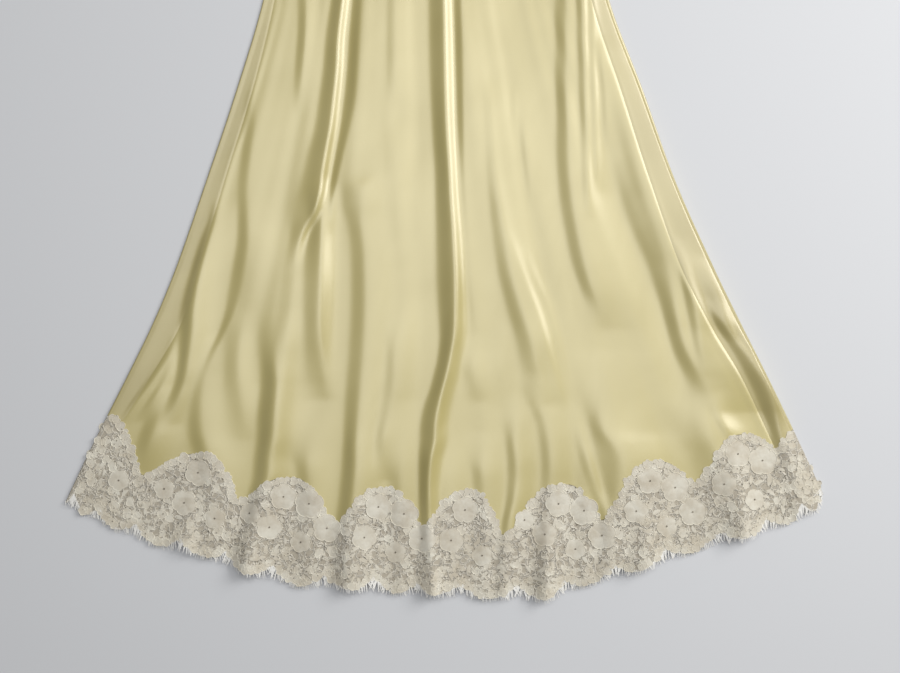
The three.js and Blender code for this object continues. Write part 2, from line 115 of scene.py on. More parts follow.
# Folds of the upper layer. Each has the width of its right flank and a line down the middle of its
# steep left flank, from top to foot. The columns of the line are pixels across, pixels down, rise of
# the crest and width of the left flank. Rises and widths are in mm, and tall and wide scale those of
# the line. A foot below the hem leaves the fold open there, as a flute.
Fold = namedtuple("Fold", "right line wide tall", defaults=(1.0, 1.0))
FOLDS = [
    # left of the middle
    Fold(14, [(300, -60, 0, 9), (302, -10, 2.4, 9), (302, 30, 3, 9), (300, 60, 2.6, 9),
        (298, 85, 1.6, 8), (296, 115, 0, 8)]),
    Fold(7, [(346, -160, 0, 13), (343, -60, 4.6, 12), (337, 0, 5.6, 11), (332, 40, 5.8, 12),
        (330, 70, 6, 13), (326.5, 100, 6.2, 14), (322.5, 130, 6.6, 15), (318, 150, 7, 17),
        (313, 175, 7.5, 19), (309, 195, 7.5, 22), (304, 212, 6, 22), (297, 232, 4, 12),
        (293, 250, 1.6, 9), (290, 268, 0, 8)], wide=1.2, tall=1.25),
    Fold(14, [(318, 180, 0, 20), (316, 212, 4.5, 11), (314, 240, 5.4, 12), (312, 280, 6, 15),
        (311, 330, 5.4, 15), (313, 365, 3, 15), (315, 400, 0, 18)], wide=1.4, tall=1.3),
    Fold(60, [(364, -160, 0, 12), (360, -60, 3.4, 11), (357, 0, 4.4, 10), (354.5, 35, 4.6, 10.5),
        (352.5, 67, 4.8, 11), (349.5, 100, 4.6, 12), (344.5, 130, 4.2, 10), (339, 157, 3.4, 8),
        (334, 182, 2.8, 7), (331, 205, 1.8, 6), (329, 235, 0, 6)], wide=1.05, tall=1.25),
    Fold(34, [(352, 130, 0, 60), (351, 176, 3.4, 44), (350, 188, 5.4, 26), (351, 203, 5.4, 22),
        (354, 222, 4.4, 15), (357, 250, 4.6, 15), (358, 300, 5, 16), (356, 350, 4.8, 16),
        (353, 390, 5, 15), (351, 425, 5.6, 13), (350, 445, 6.6, 12), (349, 470, 7.6, 13),
        (346, 500, 8, 13), (342, 530, 8, 14), (340, 570, 12, 18),
        (336, 650, 14, 20)], wide=1.12, tall=1.08),
    Fold(16, [(391, -90, 0, 9), (391, -20, 1.3, 9), (391, 40, 1.5, 9), (391, 80, 1.2, 9),
        (390, 105, 0, 9)], wide=1.2, tall=1.3),
    Fold(20, [(390, 115, 0, 14), (390, 150, 1.3, 11), (390, 190, 1.7, 12), (391, 225, 1.2, 12),
        (391, 270, 0, 14)], wide=1.2, tall=1.3),
    Fold(22, [(412, 150, 0, 14), (412, 190, 1.2, 12), (413, 230, 1.4, 13), (412, 290, 0, 14)]),
    Fold(22, [(390, 300, 0, 30), (390, 345, 2.4, 13), (388, 385, 3, 13), (384, 412, 2.6, 12),
        (379, 440, 3, 11), (378, 480, 0, 14)]),
    Fold(24, [(391, 400, 0, 40), (392, 450, 2.4, 26), (394, 478, 3.2, 16), (395, 495, 3.2, 14),
        (396, 650, 2.4, 14)]),
    # down the middle
    Fold(11, [(430, -190, 0, 14), (433, -80, 5, 13), (436, 0, 6.8, 13), (437, 60, 7.2, 13),
        (438, 95, 7.2, 12.5), (439, 120, 7.2, 12), (440, 140, 7.2, 12), (442, 170, 7.6, 12),
        (443, 200, 8, 13), (444.5, 235, 8.6, 15), (446, 280, 9, 16), (447, 315, 8.6, 14),
        (447, 335, 8, 12), (444, 357, 7, 10), (440, 375, 7, 10), (436, 390, 7, 10), (431, 407, 7.4, 12),
        (428, 423, 8, 13), (427, 440, 8, 13), (425, 457, 8.6, 10), (424, 480, 8, 8),
        (424, 500, 7.6, 7.5), (424, 515, 7, 8), (424, 555, 8, 11), (423, 590, 12, 16),
        (423, 650, 14, 18)], wide=1.3, tall=1.3),
    Fold(46, [(452, -170, 0, 12), (455, -60, 4.4, 10), (456, 0, 5.6, 9.5), (457, 40, 6, 9),
        (458, 80, 6, 8.5), (459, 120, 5.6, 8.5), (460, 160, 4.8, 8.5), (461.5, 200, 4, 9),
        (464, 240, 3.4, 9.5), (466, 280, 3, 10), (469, 310, 2, 11),
        (472, 350, 0, 14)], wide=1.15, tall=1.1),
    Fold(34, [(454, 310, 0, 30), (450, 355, 1.2, 16), (445, 385, 1.4, 15), (441, 410, 1.4, 16),
        (438, 440, 2, 17), (437, 480, 4.4, 17), (436, 560, 6, 17), (435, 650, 6, 17)]),
    # right of the middle
    Fold(26, [(485, 80, 0, 8), (487, 105, 1.3, 7.5), (489, 140, 1.8, 8), (491, 180, 2.6, 9),
        (494, 205, 3.6, 10), (498, 235, 4.4, 12), (504, 272, 5.4, 13), (513, 307, 5.8, 14),
        (522, 340, 5.6, 15), (527, 372, 3.6, 16), (530, 405, 0, 24)], wide=1.3, tall=1.2),
    Fold(8, [(505, 232, 0, 10), (514, 262, 0.9, 10), (524, 290, 1.1, 10), (535, 320, 1.2, 10),
        (545, 355, 1.1, 10), (553, 385, 0.9, 10), (560, 412, 0, 10)]),
    Fold(8, [(520, 248, 0, 9), (530, 275, 0.7, 9), (541, 300, 0.9, 9), (550, 330, 0.9, 9),
        (557, 360, 0.7, 9), (564, 395, 0, 9)]),
    Fold(6, [(512, 85, 0, 6), (512, 108, 0.6, 6), (514, 142, 0, 6)]),
    Fold(8, [(519, 114, 0, 6), (522, 142, 0.8, 6), (526, 178, 0.7, 6), (529, 210, 0, 6)]),
    Fold(40, [(556, -160, 0, 13), (558, -60, 3.6, 12), (560, 0, 4.4, 11), (560, 60, 4.4, 10.5),
        (561, 110, 4.4, 10), (562, 160, 4.4, 11), (565, 200, 4.6, 12), (571, 235, 4.8, 12),
        (577, 262, 4.8, 12), (584, 285, 4, 11), (590, 303, 2.6, 12),
        (595, 330, 0, 16)], wide=1.3, tall=1.3),
    Fold(12, [(572, -140, 0, 8), (575, -50, 3, 8), (578, 0, 4, 8), (579, 30, 4.2, 8),
        (580, 60, 4.2, 8.5), (581, 90, 4.2, 8.5), (582, 120, 4, 8.5), (583, 150, 3.2, 8),
        (584, 185, 2, 7), (585, 220, 0, 7)], wide=1.1, tall=1.1),
    Fold(45, [(586, -60, 0, 6), (589, -10, 2.4, 6), (590, 35, 3.4, 6), (591, 75, 3.8, 6),
        (592, 110, 3.8, 6.5), (593, 140, 3.2, 6.5), (594, 165, 2.2, 6),
        (595, 195, 0, 6)], wide=1.1, tall=1.1),
    Fold(45, [(595, 35, 0, 6), (598, 60, 2.2, 6), (601, 90, 2.8, 6.5), (603, 120, 2.2, 6.5),
        (604, 150, 0, 6)], wide=1.1, tall=1),
    Fold(120, [(606, 62, 0, 16), (609, 88, 2.4, 18), (613, 113, 4.8, 20), (618, 138, 7.2, 23),
        (623, 163, 9, 24), (628, 185, 10.2, 25), (633, 205, 10.6, 26), (639, 222, 10.4, 26),
        (647, 242, 10, 24), (655, 262, 9.4, 21), (661, 283, 8.8, 18), (666, 302, 8, 15),
        (670, 320, 7.4, 13), (674, 337, 6.6, 13), (679, 352, 6.2, 14), (687, 369, 5.4, 16),
        (695, 387, 3.4, 20), (704, 412, 0, 34)], wide=1.15, tall=1.05),
    Fold(20, [(671, 240, 0, 6), (678, 262, 1.8, 7), (683, 282, 2.8, 8), (687, 303, 3.4, 8.5),
        (691, 323, 3.2, 8.5), (694, 343, 2.4, 8), (698, 360, 1.2, 8),
        (703, 378, 0, 8)], wide=1.1, tall=1.1),
    Fold(50, [(684, 330, 0, 70), (684, 392, 5, 52), (685, 414, 8, 40), (691, 435, 10, 38),
        (699, 455, 10, 36), (704, 475, 8, 30), (712, 505, 6, 24), (720, 560, 5, 24),
        (725, 650, 5, 24)]),
    Fold(20, [(708, 390, 0, 20), (714, 416, 2.2, 9), (721, 430, 2.6, 9), (729, 450, 0, 14)]),
    Fold(60, [(584, 350, 0, 40), (588, 385, 2.4, 26), (592, 412, 4.4, 18), (596, 430, 6.4, 17),
        (601, 442, 8.4, 24), (605, 457, 9.4, 30), (608, 473, 9.4, 27), (609, 492, 8.6, 20),
        (606, 520, 7, 16), (600, 580, 6, 15), (596, 650, 6, 15)]),
    Fold(8, [(568, 405, 0, 12), (577, 440, 1.2, 10), (583, 460, 1.8, 10), (591, 485, 2, 10),
        (599, 512, 2, 10), (602, 540, 0, 10)]),
    # above the lace, from the middle to the right
    Fold(20, [(507, 395, 0, 26), (509, 436, 2.8, 11), (511, 460, 4, 11), (511, 480, 4, 11),
        (509, 500, 4.8, 10), (505, 520, 5.4, 9), (500, 560, 5, 11), (497, 650, 5, 11)]),
    Fold(24, [(524, 375, 0, 22), (532, 403, 2, 13), (539, 420, 2.4, 12), (543, 440, 3.2, 12),
        (545, 465, 3.8, 12), (544, 487, 3.4, 12), (541, 520, 3.6, 12), (538, 650, 3.6, 12)]),
    Fold(24, [(462, 335, 0, 24), (465, 365, 2.2, 16), (468, 384, 1.6, 16), (470, 402, 0, 20)]),
    Fold(26, [(488, 320, 0, 24), (491, 362, 1.6, 16), (495, 410, 0, 24)]),
    Fold(24, [(472, 432, 0, 24), (474, 454, 1.6, 18), (476, 470, 3, 13), (477, 485, 3, 12),
        (478, 520, 2.6, 12), (478, 650, 2.6, 12)]),
    Fold(20, [(574, 425, 0, 30), (578, 462, 1.8, 16), (580, 490, 2.2, 12), (580, 650, 2.2, 12)]),
    # lower left
    Fold(28, [(291, 240, 0, 14), (289, 275, 2.2, 14), (285, 310, 2.4, 15), (281, 345, 2.2, 15),
        (277, 395, 0, 20)]),
    Fold(26, [(296, 400, 0, 40), (299, 450, 3, 22), (301, 466, 3.8, 15), (303, 490, 3.2, 14),
        (303, 520, 2.6, 14), (303, 650, 2.6, 14)]),
    Fold(60, [(262, 230, 0, 36), (260, 290, 4.6, 42), (258, 330, 4.6, 42), (258, 385, 0, 36)]),
    Fold(24, [(268, 310, 0, 26), (268, 355, 4.4, 14), (269, 385, 8, 16), (267, 413, 9.6, 17),
        (266, 437, 9.6, 15), (263, 457, 9, 14), (261, 477, 9, 14), (256, 493, 8.6, 13),
        (250, 520, 8.6, 14), (240, 555, 13, 18), (234, 650, 15, 20)], wide=1.12, tall=1.08),
    Fold(30, [(250, 85, 0, 9), (250, 125, 1.8, 9), (247, 150, 2, 9), (243, 190, 2.2, 9),
        (243, 215, 2.8, 9), (243, 240, 3.4, 10), (240, 262, 3.6, 11), (235, 290, 3.2, 11),
        (229, 315, 2.4, 8), (221, 335, 1.8, 6), (213, 352, 1.3, 6),
        (205, 375, 0, 6)], wide=1.2, tall=1.15),
    Fold(20, [(216, 198, 0, 8), (212, 222, 2, 7), (207, 236, 3.2, 8), (202, 252, 4.2, 8.5),
        (197, 270, 5, 9), (192, 290, 5.8, 10), (188, 312, 6.4, 11), (186, 335, 6, 11), (184, 358, 5, 9),
        (181, 378, 4.2, 9), (175, 397, 3, 9), (165, 425, 0, 12)], wide=1.2, tall=1.15),
    Fold(14, [(177, 330, 0, 8), (168, 352, 1.8, 8), (156, 372, 2.4, 8), (145, 388, 2.2, 8),
        (134, 403, 1.6, 8), (120, 424, 0, 7)]),
    Fold(14, [(174, 354, 0, 8), (166, 374, 1.8, 8), (156, 392, 2.2, 8), (146, 407, 1.6, 8),
        (136, 422, 0, 7)]),
    Fold(28, [(160, 385, 0, 24), (152, 418, 3.4, 15), (147, 433, 4.6, 15), (142, 448, 3.8, 16),
        (134, 472, 0, 20)]),
    Fold(30, [(208, 335, 0, 18), (202, 372, 2.8, 13), (196, 398, 3.8, 13), (195, 428, 4.2, 14),
        (200, 450, 4.2, 15), (206, 470, 3.2, 14), (205, 520, 2.6, 14), (203, 650, 2.6, 14)]),
    Fold(18, [(232, 310, 0, 24), (232, 350, 3, 18), (232, 385, 3.6, 18), (233, 440, 0, 24)]),
    # flutes of the hem
    Fold(24, [(722, 445, 0, 20), (726, 480, 5, 18), (730, 520, 10, 22), (734, 560, 13, 24),
        (738, 650, 13, 24)]),
    Fold(20, [(640, 500, 0, 18), (637, 530, 5, 18), (634, 560, 10, 22), (632, 650, 12, 22)]),
    Fold(18, [(545, 500, 0, 16), (540, 540, 4, 16), (537, 575, 9, 20), (535, 650, 11, 22)]),
    Fold(18, [(190, 490, 0, 16), (182, 520, 4, 16), (176, 545, 9, 20), (168, 650, 11, 20)]),
    # strip beyond the right seam
    Fold(20, [(693, 258, 0, 14), (702, 282, 4.4, 17), (710, 302, 5.6, 17), (717, 320, 4.6, 14),
        (726, 340, 0, 10)]),
    Fold(24, [(702, 300, 0, 8), (713, 320, 2.8, 9), (725, 337, 4.6, 13), (738, 354, 6.8, 17),
        (749, 372, 8.4, 18), (757, 387, 9, 18), (764, 405, 8, 16), (770, 422, 6.4, 12),
        (775, 440, 6, 11), (781, 460, 5, 11), (790, 490, 4, 11), (800, 560, 4, 11)]),
    Fold(9, [(730, 316, 0, 6), (739, 337, 2.4, 7), (749, 350, 3.4, 7), (760, 366, 2.4, 7),
        (768, 382, 0, 6)]),
    # raised edges along the right and left seams
    Fold(5, [(586, -20, 0, 8), (587, 0, 0.3, 8), (601, 55, 0.4, 8), (619, 110, 0.4, 8),
        (633, 155, 0.4, 8), (651, 205, 0.4, 8), (667, 248, 0.5, 8), (677, 275, 0.7, 8),
        (692, 305, 0.9, 8), (712, 342, 0.9, 8), (734, 378, 0.9, 8), (762, 435, 0.9, 8),
        (782, 485, 0.9, 8), (800, 540, 0, 8)]),
    Fold(5, [(277, -10, 0, 7), (274, 10, 0.4, 7), (262, 55, 0.4, 7), (249, 98, 0.5, 7),
        (241, 130, 0.5, 7), (231, 155, 0.4, 7), (221, 190, 0.3, 7), (211, 225, 0, 7)]),
]

# ---------------------------------------------------------------- curves and surfaces


def ease(t):
    """Zero below 0, one above 1, and three t squared less two t cubed between them."""
    t = np.clip(t, 0.0, 1.0)
    return t * t * (3.0 - 2.0 * t)


def smooth_through(knots, values, at):
    """Cubic pieces through the knots, each ending with the slope from the knots on either side."""
    knots, values = np.asarray(knots, float), np.asarray(values, float)
    slope = np.empty_like(values)
    slope[1:-1] = (values[2:] - values[:-2]) / (knots[2:] - knots[:-2])
    slope[0] = (values[1] - values[0]) / (knots[1] - knots[0])
    slope[-1] = (values[-1] - values[-2]) / (knots[-1] - knots[-2])
    low = np.clip(np.searchsorted(knots, at, side="right") - 1, 0, len(knots) - 2)
    span = knots[low + 1] - knots[low]
    t = np.clip((at - knots[low]) / span, 0.0, 1.0)
    a, b = values[low], values[low + 1]
    leave, arrive = slope[low] * span, slope[low + 1] * span
    cubic = (2 * a - 2 * b + leave + arrive) * t + (3 * b - 3 * a - 2 * leave - arrive)
    return cubic * t * t + leave * t + a


def section(column, height):
    """A column of the section table as a smooth function of height."""
    return smooth_through([s.height for s in SECTIONS], [getattr(s, column) for s in SECTIONS], height)


left_edge, right_edge, left_seam, right_seam, loft = (
    partial(section, column) for column in Section._fields[1:])


def neck_line(side):
    """Top edge of the front or back: a smooth line through the table's places on both sides."""
    outs, tops = np.array([(n.out, getattr(n, side)) for n in NECKLINES], float).T
    outs, tops = np.concatenate([-outs[:0:-1], outs]), np.concatenate([tops[:0:-1], tops])
    return lambda x: smooth_through(outs, tops, x - CENTRE_X)


def table_span(rows, x):
    """Index of the row before x, and the share of the way from it to the next row."""
    knots = np.array([r.x for r in rows], float)
    low = np.clip(np.searchsorted(knots, x, side="right") - 1, 0, len(knots) - 2)
    return low, np.clip((x - knots[low]) / (knots[low + 1] - knots[low]), 0.0, 1.0)


def lace_line(x):
    """Half a cosine wave from each peak of the lace to its next dip, its share bent by a power so that
    the peaks, the even rows of the table, are broad and the dips narrow."""
    low, t = table_span(LACE_LINE, x)
    t = np.where(low % 2 == 0, t ** PEAK_BREADTH, 1 - (1 - t) ** PEAK_BREADTH)
    tops = np.array([r.height for r in LACE_LINE], float)
    return tops[low] + (tops[low + 1] - tops[low]) * (1 - np.cos(np.pi * t)) / 2


def straight_hem(x):
    """Straight runs between the lowest points of the scallops."""
    return np.interp(x, [r.x for r in SCALLOPS], [r.height for r in SCALLOPS])


def notch(x):
    """One less the cosine's size: nought at the foot of each scallop, one in the notch between two."""
    return 1 - np.abs(np.cos(np.pi * table_span(SCALLOPS, x)[1]))


def hem_line(x):
    """The straight hem, raised in the notches. The lashes end near it or a few mm past it."""
    return straight_hem(x) + SCALLOP_NOTCH * notch(x)


def fold_rise(fold, x, height):
    """A straight ramp with rounded corners up the left flank, and half a bell down the right one."""
    across, down, rises, lefts = np.array(fold.line[::-1], float).T
    places, heights = (across - MIDDLE_PIXEL) * PIXEL, (FOOT_PIXEL - down) * PIXEL
    left = np.maximum(smooth_through(heights, fold.wide * lefts, height), LEAST_FLANK)
    up = (x - smooth_through(heights, places, height)) / left + 0.5
    ramp = (np.logaddexp(0, CORNER * up) - np.logaddexp(0, CORNER * (up - 1))) / CORNER
    fall = np.maximum(up - 1, 0) * left / fold.right
    rise = np.maximum(smooth_through(heights, fold.tall * rises, height), 0.0)
    return rise * ramp * np.exp(-fall * fall)


RIPPLES = np.random.default_rng(7).uniform(0, 1, (16, 4))     # across, along, phase and strength
LEAST_TURNS, MORE_TURNS = 4, 22       # waves of a ripple from one side fold to the other
SLANT_RUN = 250.0                     # run of height in which a ripple slants by up to half a wave
LEAST_RIPPLE, MORE_RIPPLE = 0.075, 0.105
CLOSE_LOSS = 1.6                      # how much lower the closest ripples are


def ripple(x, height):
    """Sum of long low waves, each a sine of a slightly slanted mix of share across and height."""
    left, right = left_edge(height), right_edge(height)
    share = (x - left) / (right - left)
    total = np.zeros(np.broadcast(x, height).shape)
    for across, along, phase, strength in RIPPLES:
        turns = (LEAST_TURNS + MORE_TURNS * across) * share + (along - 0.5) * height / SLANT_RUN + phase
        size = (LEAST_RIPPLE + MORE_RIPPLE * strength) / (1 + CLOSE_LOSS * across)
        total += size * np.sin(2 * np.pi * turns)
    return total


def upper_middle(x, height):
    """Lift of the upper layer's middle: the loft plus folds and ripples, faded beside the side folds."""
    x, height = np.broadcast_arrays(np.asarray(x, float), np.asarray(height, float))
    fade = (ease((x - left_edge(height) - EDGE_TURN) / LEFT_FADE)
            * ease((right_edge(height) - x - EDGE_TURN) / RIGHT_FADE))
    rise = ripple(x, height)
    for fold in FOLDS:
        rise = rise + fold_rise(fold, x, height)
    for seam, depth in ((left_seam, LEFT_SEAM_DIP), (right_seam, RIGHT_SEAM_DIP)):
        rise = rise - depth * np.exp(-(((x - seam(height)) / SEAM_REACH) ** 2))
    return SOLID_WALL / 2 + loft(height) + rise * fade


def upper_layer(x, height):
    """Points of the upper layer and its outward directions, from the slopes one step either side."""
    step = 0.5
    lift = upper_middle(x, height)
    slope_x = (upper_middle(x + step, height) - upper_middle(x - step, height)) / (2 * step)
    slope_y = (upper_middle(x, height + step) - upper_middle(x, height - step)) / (2 * step)
    outward = np.stack([-slope_x, -slope_y, np.ones_like(lift)], -1)
    outward /= np.linalg.norm(outward, axis=-1, keepdims=True)
    return np.stack([x, height, lift], -1), outward


# ---------------------------------------------------------------- meshes

SHARP_ANGLE = np.radians(65)          # between faces that are shaded apart


def cloth_mesh(name, points, faces, material, uv=None):
    """A mesh from points (x, height, lift) in millimetres and a list of face arrays of one size each."""
    points = np.asarray(points, float).reshape(-1, 3)
    metres = (points - (0, LENGTH / 2, 0)) * MM
    sizes = np.concatenate([np.full(len(f), f.shape[1]) for f in faces])
    corners = np.concatenate([f.ravel() for f in faces]).astype(np.int32)
    mesh = bpy.data.meshes.new(name)
    mesh.vertices.add(len(metres))
    mesh.vertices.foreach_set("co", metres.astype(np.float32).ravel())
    mesh.loops.add(len(corners))
    mesh.loops.foreach_set("vertex_index", corners)
    mesh.polygons.add(len(sizes))
    mesh.polygons.foreach_set("loop_start", (np.cumsum(sizes) - sizes).astype(np.int32))
    mesh.polygons.foreach_set("use_smooth", np.ones(len(sizes), bool))
    mesh.update(calc_edges=True)
    if uv is not None:
        layer = mesh.uv_layers.new(name="weave")
        layer.data.foreach_set("uv", np.asarray(uv, np.float32).reshape(-1, 2)[corners].ravel())
    mesh.validate()
    mesh.set_sharp_from_angle(angle=SHARP_ANGLE)
    mesh.materials.append(material)
    piece = bpy.data.objects.new(name, mesh)
    bpy.context.scene.collection.objects.link(piece)
    return piece


def grid_faces(rows, columns, first=0, flip=False, wrap=False, wrap_rows=False):
    """Quads of a grid of points counted row by row; wrap joins its last column to its first, and
    wrap_rows its last row to its first."""
    r = np.arange(rows if wrap_rows else rows - 1)[:, None]
    c = np.arange(columns if wrap else columns - 1)[None, :]
    below, right = (r + 1) % rows, (c + 1) % columns
    quads = np.stack(np.broadcast_arrays(
        r * columns + c, r * columns + right, below * columns + right, below * columns + c), -1)
    quads = quads.reshape(-1, 4) + first
    return quads[:, ::-1] if flip else quads


def shell(points, outward, thick):
    """Closed wall: the grid moved half its thickness out and in, joined round its rim."""
    rows, columns = points.shape[:2]
    half = np.broadcast_to(np.asarray(thick, float) / 2, (rows, columns))[..., None]
    both = np.stack([points + outward * half, points - outward * half])
    count = rows * columns
    faces = [grid_faces(rows, columns), grid_faces(rows, columns, count, flip=True)]
    index = np.arange(count).reshape(rows, columns)
    loop = np.concatenate([index[0, :-1], index[:-1, -1], index[-1, :0:-1], index[:0:-1, 0]])
    after = np.roll(loop, -1)
    faces.append(np.stack([after, loop, loop + count, after + count], -1))
    return both.reshape(-1, 3), faces


def meeting_heights(place_x, line, columns):
    """Height at which each column meets a line across the dress: from a quarter of the length, each
    step goes a share of the way to the line."""
    steps, share = 40, 0.6
    height = np.full(columns, LENGTH / 4)
    for _ in range(steps):
        height = height + share * (line(place_x(height)) - height)
    return height


def column_heights(place_x, lower, upper, columns, rows, crowd):
    """Heights of a panel's grid between its two edge lines: a power of the even share crowds the
    foot."""
    low = meeting_heights(place_x, lower, columns)
    high = meeting_heights(place_x, upper, columns)
    return low + (high - low) * np.linspace(0, 1, rows)[:, None] ** crowd


def front_grid(lower, upper, columns, rows, crowd=1.0):
    """Grid over the front, from seam to seam, between two lines across the dress."""
    share = np.linspace(0, 1, columns)

    def place_x(height):
        left, right = left_seam(height), right_seam(height)
        return left + (right - left) * share

    height = column_heights(place_x, lower, upper, columns, rows, crowd)
    return upper_layer(place_x(height), height)


def back_grid(lower, upper, strip, turn, under, rows, crowd=1.0):
    """Grid over the back: right strip, half round right fold, flat underside, left fold and strip,
    with strip, turn and under columns on each kind."""
    strip_share, turn_share = np.arange(strip) / strip, np.arange(turn) / turn
    run = np.concatenate([strip_share, 1 + turn_share, 2 + np.arange(under) / under,
                          3 + turn_share, 4 + np.arange(strip + 1) / strip])
    kind = np.minimum(run.astype(int), 4)
    share = run - kind

    def radius(height):
        return (SOLID_WALL / 2 + loft(height) - UNDER_MIDDLE) / 2

    def place_x(height):
        wall = SATIN_THICK / 2 + radius(height)
        right, left = right_edge(height) - wall, left_edge(height) + wall
        start, end = right_seam(height), left_seam(height)
        bulge = radius(height) * np.sin(np.pi * share)
        return np.select(
            [kind == 0, kind == 1, kind == 2, kind == 3],
            [start + (right - start) * share, right + bulge,
             right + (left - right) * share, left - bulge],
            left + (end - left) * share)

    height = column_heights(place_x, lower, upper, len(run), rows, crowd)
    x = place_x(height)
    points, outward = upper_layer(x, height)
    turned = np.broadcast_to(np.isin(kind, (1, 3)), x.shape)
    angle = np.broadcast_to(np.where(kind == 1, 0.5 - share, -0.5 + share) * np.pi, x.shape)
    side = np.broadcast_to(np.where(kind == 1, 1.0, -1.0), x.shape)
    size = radius(height)
    points[..., 2] = np.where(turned, UNDER_MIDDLE + size + size * np.sin(angle), points[..., 2])
    points[..., 2] = np.where(kind == 2, UNDER_MIDDLE, points[..., 2])
    round_way = np.stack([side * np.cos(angle), np.zeros_like(x), np.sin(angle)], -1)
    outward = np.where(turned[..., None], round_way, outward)
    outward = np.where(np.broadcast_to(kind == 2, x.shape)[..., None], (0.0, 0.0, -1.0), outward)
    return points, outward


def weave_map(points):
    """Distance across and along the cloth in metres, for the weave: the running length of the grid."""
    across = np.zeros(points.shape[:2])
    across[:, 1:] = np.cumsum(np.linalg.norm(np.diff(points, axis=1), axis=-1), axis=1)
    uv = np.stack([across, points[..., 1]], -1) * MM
    return np.concatenate([uv.reshape(-1, 2)] * 2)


# ---------------------------------------------------------------- finishes


def finish(name, colour, roughness, **inputs):
    """A material with its Principled node, ready for its own pattern; other inputs are set by name."""
    material = bpy.data.materials.new(name)
    material.use_nodes = True
    shader = material.node_tree.nodes["Principled BSDF"]
    inputs.update({"Base Color": (*colour, 1), "Roughness": roughness})
    for key, value in inputs.items():
        shader.inputs[key].default_value = value
    return material, shader


def add_node(material, kind, **settings):
    """A new node, with inputs set by name and other settings as attributes."""
    node = material.node_tree.nodes.new(kind)
    for key, value in settings.items():
        if key in node.inputs:
            node.inputs[key].default_value = value
        else:
            setattr(node, key, value)
    return node


def join(material, *wires):
    """Links, each given as a node, its output, another node and its input."""
    for start, output, end, entry in wires:
        material.node_tree.links.new(start.outputs[output], end.inputs[entry])


def two_tone(material, shader, node, output, dark, light, low=0.35, high=0.65):
    """Base colour between two tones, by the output of a pattern."""
    ramp = add_node(material, "ShaderNodeValToRGB")
    for element, place, tone in zip(ramp.color_ramp.elements, (low, high), (dark, light)):
        element.position, element.color = place, (*tone, 1)
    join(material, (node, output, ramp, "Fac"), (ramp, "Color", shader, "Base Color"))


def noise(material, scale, detail, roughness):
    """Cloudy noise."""
    return add_node(material, "ShaderNodeTexNoise", Scale=scale, Detail=detail, Roughness=roughness)


def satin_finish(name, dark, light):
    """Pale butter satin: broad lustre across the floats, faint slubs on the bias and a fine grain."""
    material, shader = finish(name, light, 0.38, **{
        "Metallic": 0.05, "Anisotropic": 0.35, "Specular IOR Level": 1.0, "IOR": 1.60,
        "Coat Weight": 0.40, "Coat Roughness": 0.42})
    weave = add_node(material, "ShaderNodeUVMap", uv_map="weave")
    tangent = add_node(material, "ShaderNodeTangent", direction_type="UV_MAP", uv_map="weave")
    bias = add_node(material, "ShaderNodeMapping", Rotation=(0, 0, np.radians(45)), Scale=(30, 900, 1))
    slub, cloud = noise(material, 1.0, 3.0, 0.6), noise(material, 9.0, 2.0, 0.5)
    bump = add_node(material, "ShaderNodeBump", Strength=0.10, Distance=0.0004)
    join(material,
         (weave, "UV", bias, "Vector"), (bias, "Vector", slub, "Vector"),
         (weave, "UV", cloud, "Vector"), (slub, "Fac", bump, "Height"),
         (bump, "Normal", shader, "Normal"), (tangent, "Tangent", shader, "Tangent"))
    two_tone(material, shader, cloud, "Fac", dark, light)
    return material


def thread_finish(name, dark, light, grain=2600.0):
    """Matt lace thread: two close tones in clouds, and fine wound threads as bump."""
    material, shader = finish(name, light, 0.78, **{"Sheen Weight": 0.15})
    place = add_node(material, "ShaderNodeTexCoord")
    cloud, wound = noise(material, 38.0, 5.0, 0.72), noise(material, grain, 2.0, 0.7)
    bump = add_node(material, "ShaderNodeBump", Strength=0.5, Distance=0.0004)
    join(material,
         (place, "Object", cloud, "Vector"), (place, "Object", wound, "Vector"),
         (wound, "Fac", bump, "Height"), (bump, "Normal", shader, "Normal"))
    two_tone(material, shader, cloud, "Fac", dark, light)
    return material


def calculation(material, operation, constant=None):
    """A sum or comparison; a constant is its second term."""
    node = add_node(material, "ShaderNodeMath", operation=operation)
    if constant is not None:
        node.inputs[1].default_value = constant
    return node


